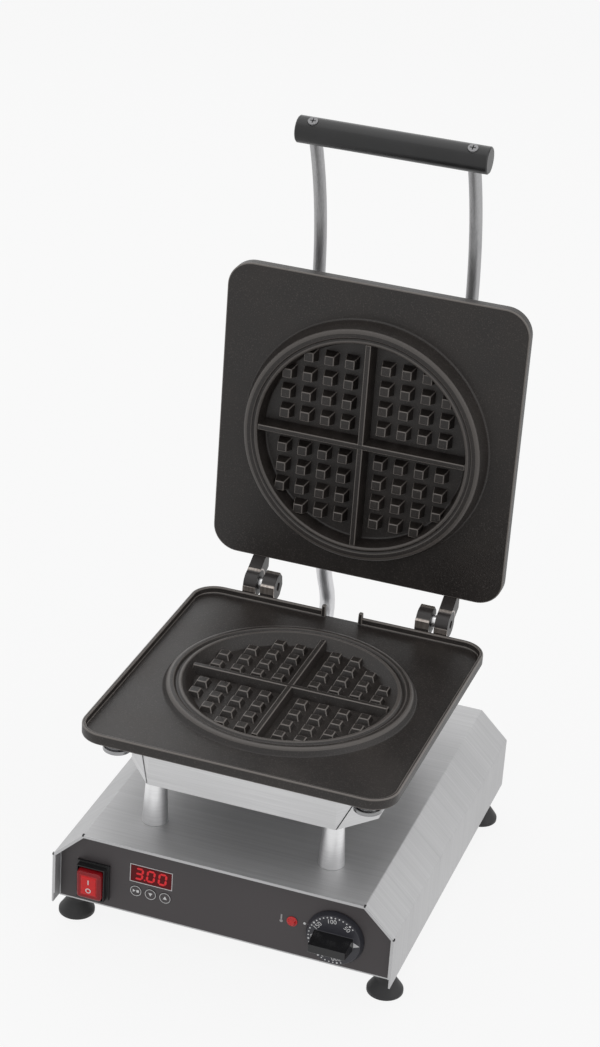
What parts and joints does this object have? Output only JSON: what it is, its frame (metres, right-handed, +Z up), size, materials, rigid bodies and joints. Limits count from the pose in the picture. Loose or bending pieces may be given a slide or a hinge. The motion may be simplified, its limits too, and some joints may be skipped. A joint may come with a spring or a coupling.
{
  "type": "waffle maker",
  "caption": "Counter-top round waffle maker: hinged cast plates on pillars over a bent steel base, with a recessed control panel, dial, timer keys and a bar handle.",
  "frame": {"origin": "on the table, below the middle of the overall box with the lid open", "axes": "+Z up, -Y towards the control panel, +X to the right seen from the front"},
  "size_m": [0.329, 0.425, 0.6741],
  "materials": {
    "sheet_steel": "brushed stainless sheet",
    "dark_foil": "matt printed overlay",
    "black_rubber": "matt",
    "zinc_steel": "zinc plated",
    "heater_steel": "dull heat-coloured",
    "polished_steel": "polished",
    "rod_steel": "satin",
    "black_grip": "satin moulded",
    "cast_plate": "cast, dark non-stick coating",
    "black_plastic": "moulded",
    "pale_plastic": "moulded",
    "board_green": "lacquered",
    "red_plastic": "glossy",
    "red_window": "glossy tinted",
    "button_grey": "satin",
    "knob_black": "glossy bar on a satin skirt",
    "mineral_wool": "fibrous",
    "conduit_sleeve": "smooth silver sleeve"
  },
  "bodies": {
    "base": {"base_housing": "sheet_steel", "board_posts": "pale_plastic", "bottom_plate": "sheet_steel", "cable_gland": "black_plastic", "conduit_base_gland": "zinc_steel", "digit_display": "black_plastic", "display_window": "red_window", "feet": "black_rubber", "foot_nuts": "zinc_steel", "foot_screws": "zinc_steel", "front_foil": "dark_foil", "front_panel": "sheet_steel", "key_switches": "black_plastic", "lower_casing": "sheet_steel", "lower_corner_tabs": "sheet_steel", "lower_heater": "heater_steel", "lower_heater_clamp": "heater_steel", "lower_hinge_lugs": "cast_plate", "lower_insulation": "mineral_wool", "lower_plate": "cast_plate", "lower_plate_studs": "zinc_steel", "lower_thumb_nuts": "polished_steel", "pillar_bolts": "zinc_steel", "pillar_nuts": "zinc_steel", "pilot_lamp": "red_plastic", "power_conduit": "conduit_sleeve", "rear_panel": "sheet_steel", "safety_cutout": "pale_plastic", "support_pillars": "polished_steel", "switch_bezel": "black_plastic", "switch_body": "black_plastic", "terminal_block": "pale_plastic", "thermostat_body": "black_plastic", "timer_board": "board_green"},
    "lid": {"upper_plate": "cast_plate", "upper_casing": "sheet_steel", "upper_hinge_lugs": "cast_plate", "upper_corner_tabs": "sheet_steel", "upper_insulation": "mineral_wool", "upper_heater": "heater_steel", "upper_heater_clamp": "heater_steel", "upper_plate_studs": "zinc_steel", "upper_thumb_nuts": "polished_steel", "handle_rods": "rod_steel", "rod_nuts": "zinc_steel", "handle_grip": "black_grip", "grip_screws": "zinc_steel", "hinge_pins": "zinc_steel", "hinge_spacers": "polished_steel", "conduit_lid_gland": "zinc_steel"},
    "knob": {"thermostat_knob": "knob_black", "thermostat_shaft": "zinc_steel"},
    "rocker": {"switch_rocker": "red_plastic"},
    "key_mode": {"button_mode": "button_grey"},
    "key_down": {"button_down": "button_grey"},
    "key_up": {"button_up": "button_grey"}
  },
  "joints": [
    {"name": "lid_hinge", "type": "hinge", "parent": "base", "child": "lid", "pos_m": [0, 0.12359, 0.212], "axis": [1, 0, 0], "range_deg": [0, 91], "deforming": ["power_conduit"]},
    {"name": "thermostat_turn", "type": "hinge", "parent": "base", "child": "knob", "pos_m": [0.104, -0.18691, 0.0556], "axis": [0, -1, 0], "range_deg": [-135, 135]},
    {"name": "switch_tip", "type": "hinge", "parent": "base", "child": "rocker", "pos_m": [-0.1246, -0.18691, 0.0518], "axis": [1, 0, 0], "range_deg": [-6, 0]},
    {"name": "key_mode_press", "type": "slide", "parent": "base", "child": "key_mode", "axis": [0, 1, 0], "range_m": [0, 0.0005], "stiffness_N_per_m": 400},
    {"name": "key_down_press", "type": "slide", "parent": "base", "child": "key_down", "axis": [0, 1, 0], "range_m": [0, 0.0005], "stiffness_N_per_m": 400},
    {"name": "key_up_press", "type": "slide", "parent": "base", "child": "key_up", "axis": [0, 1, 0], "range_m": [0, 0.0005], "stiffness_N_per_m": 400}
  ]
}
